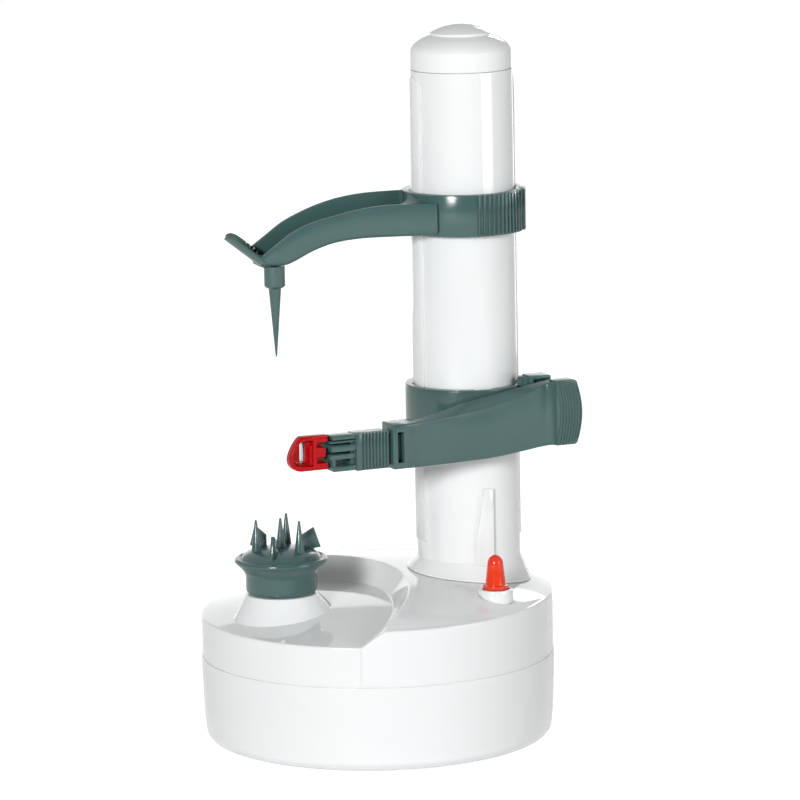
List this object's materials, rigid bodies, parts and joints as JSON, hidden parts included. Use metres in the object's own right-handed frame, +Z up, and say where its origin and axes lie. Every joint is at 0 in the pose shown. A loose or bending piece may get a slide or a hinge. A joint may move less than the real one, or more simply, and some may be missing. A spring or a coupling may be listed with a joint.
{
  "type": "electric potato peeler",
  "caption": "Upright kitchen peeling machine: round base with a spiked cup on a driven spindle, a column with a sliding food holder arm and a sprung peeling arm.",
  "frame": {"origin": "centre of the round base at its underside, 1 mm over the surface that the rubber feet stand on", "axes": "+Z up along the column, +X from the spindle side towards the column side, -Y towards the front of the picture"},
  "size_m": [0.1613, 0.1486, 0.3],
  "materials": {
    "white_abs": "glossy white ABS",
    "green_plastic": "satin gloss grey-green ABS",
    "red_plastic": "glossy red ABS",
    "button_red": "glossy orange-red ABS",
    "steel": "bright ground steel",
    "zinc_steel": "zinc-plated steel",
    "rubber": "matt black rubber",
    "black_plastic": "matt black plastic",
    "acetal": "natural acetal",
    "bronze": "sintered bronze",
    "cell_wrap": "dark plain cell sleeve"
  },
  "bodies": {
    "base": {"base_lower_shell": "white_abs", "base_upper_shell": "white_abs", "rubber_foot_1": "rubber", "rubber_foot_2": "rubber", "rubber_foot_3": "rubber", "rubber_foot_4": "rubber", "shell_screw_1": "zinc_steel", "shell_screw_2": "zinc_steel", "shell_screw_3": "zinc_steel", "battery_box": "black_plastic", "battery_cell_1": "cell_wrap", "battery_cell_2": "cell_wrap", "battery_cell_3": "cell_wrap", "battery_cell_4": "cell_wrap", "battery_contact_1": "zinc_steel", "battery_contact_2": "zinc_steel", "battery_contact_3": "zinc_steel", "battery_contact_4": "zinc_steel", "power_inlet": "black_plastic", "motor_can": "zinc_steel", "gearbox_lower_plate": "black_plastic", "gearbox_upper_plate": "black_plastic", "gearbox_pillar_1": "zinc_steel", "gearbox_pillar_2": "zinc_steel", "gearbox_pillar_3": "zinc_steel", "gearbox_pillar_4": "zinc_steel", "idler_axle": "steel", "reduction_axle": "steel", "spindle_bush": "bronze", "column_tube": "white_abs", "column_cap": "white_abs", "button_collar": "white_abs", "button_spring": "steel", "start_switch": "black_plastic"},
    "spindle": {"spindle_shaft": "steel", "spindle_gear": "acetal", "spiked_cup": "green_plastic"},
    "idler": {"idler_gear": "acetal"},
    "reduction": {"reduction_gear": "acetal"},
    "motor_rotor": {"motor_shaft": "steel", "motor_pinion": "bronze"},
    "screw": {"leadscrew": "steel", "leadscrew_gear": "acetal"},
    "holder": {"food_holder_arm": "green_plastic"},
    "prong": {"top_prong": "green_plastic", "prong_clip": "steel"},
    "carriage": {"peel_carriage": "green_plastic", "half_nut": "acetal", "pivot_pin": "steel", "arm_spring": "steel"},
    "arm": {"peel_arm": "green_plastic", "blade_head": "green_plastic", "carrier_pin": "steel"},
    "carrier": {"blade_carrier": "red_plastic", "peeling_blade": "steel"},
    "button": {"start_button": "button_red"},
    "door": {"battery_door": "white_abs"}
  },
  "joints": [
    {"name": "spindle_spin", "type": "hinge", "parent": "base", "child": "spindle", "pos_m": [-0.0394, -0.0217, 0.07], "axis": [0, 0, 1], "continuous": true},
    {"name": "idler_spin", "type": "hinge", "parent": "base", "child": "idler", "pos_m": [-0.00221, -0.00218, 0.04], "axis": [0, 0, 1], "continuous": true},
    {"name": "screw_spin", "type": "hinge", "parent": "base", "child": "screw", "pos_m": [0.0391, 0.0054, 0.04], "axis": [0, 0, 1], "continuous": true},
    {"name": "reduction_spin", "type": "hinge", "parent": "base", "child": "reduction", "pos_m": [0.00556, -0.03116, 0.04], "axis": [0, 0, 1], "continuous": true},
    {"name": "motor_spin", "type": "hinge", "parent": "base", "child": "motor_rotor", "pos_m": [0.03214, -0.02647, 0.04], "axis": [0, 0, 1], "continuous": true},
    {"name": "holder_slide", "type": "slide", "parent": "base", "child": "holder", "axis": [0, 0, 1], "range_m": [-0.028, 0.043]},
    {"name": "prong_spin", "type": "hinge", "parent": "holder", "child": "prong", "pos_m": [-0.0394, -0.0217, 0.2], "axis": [0, 0, 1], "continuous": true},
    {"name": "carriage_slide", "type": "slide", "parent": "base", "child": "carriage", "axis": [0, 0, 1], "range_m": [-0.034, 0.028]},
    {"name": "arm_swing", "type": "hinge", "parent": "carriage", "child": "arm", "pos_m": [0.0685, -0.004, 0.14], "axis": [0, 0, 1], "range_deg": [-6, 35], "stiffness_Nm_per_rad": 0.03},
    {"name": "carrier_swivel", "type": "hinge", "parent": "arm", "child": "carrier", "pos_m": [-0.02362, -0.05041, 0.13055], "axis": [0, 0, 1], "range_deg": [-10, 10]},
    {"name": "button_press", "type": "slide", "parent": "base", "child": "button", "axis": [0, 0, -1], "range_m": [0, 0.0025], "stiffness_N_per_m": 300, "deforming": ["button_spring"]},
    {"name": "door_slide", "type": "slide", "parent": "base", "child": "door", "axis": [0, -1, 0], "range_m": [0, 0.0078]}
  ],
  "couplings": [
    {"joint": "idler_spin", "follows": "spindle_spin", "ratio": -0.86667},
    {"joint": "screw_spin", "follows": "spindle_spin", "ratio": 1},
    {"joint": "reduction_spin", "follows": "spindle_spin", "ratio": 2.6},
    {"joint": "motor_spin", "follows": "spindle_spin", "ratio": -9.1}
  ]
}
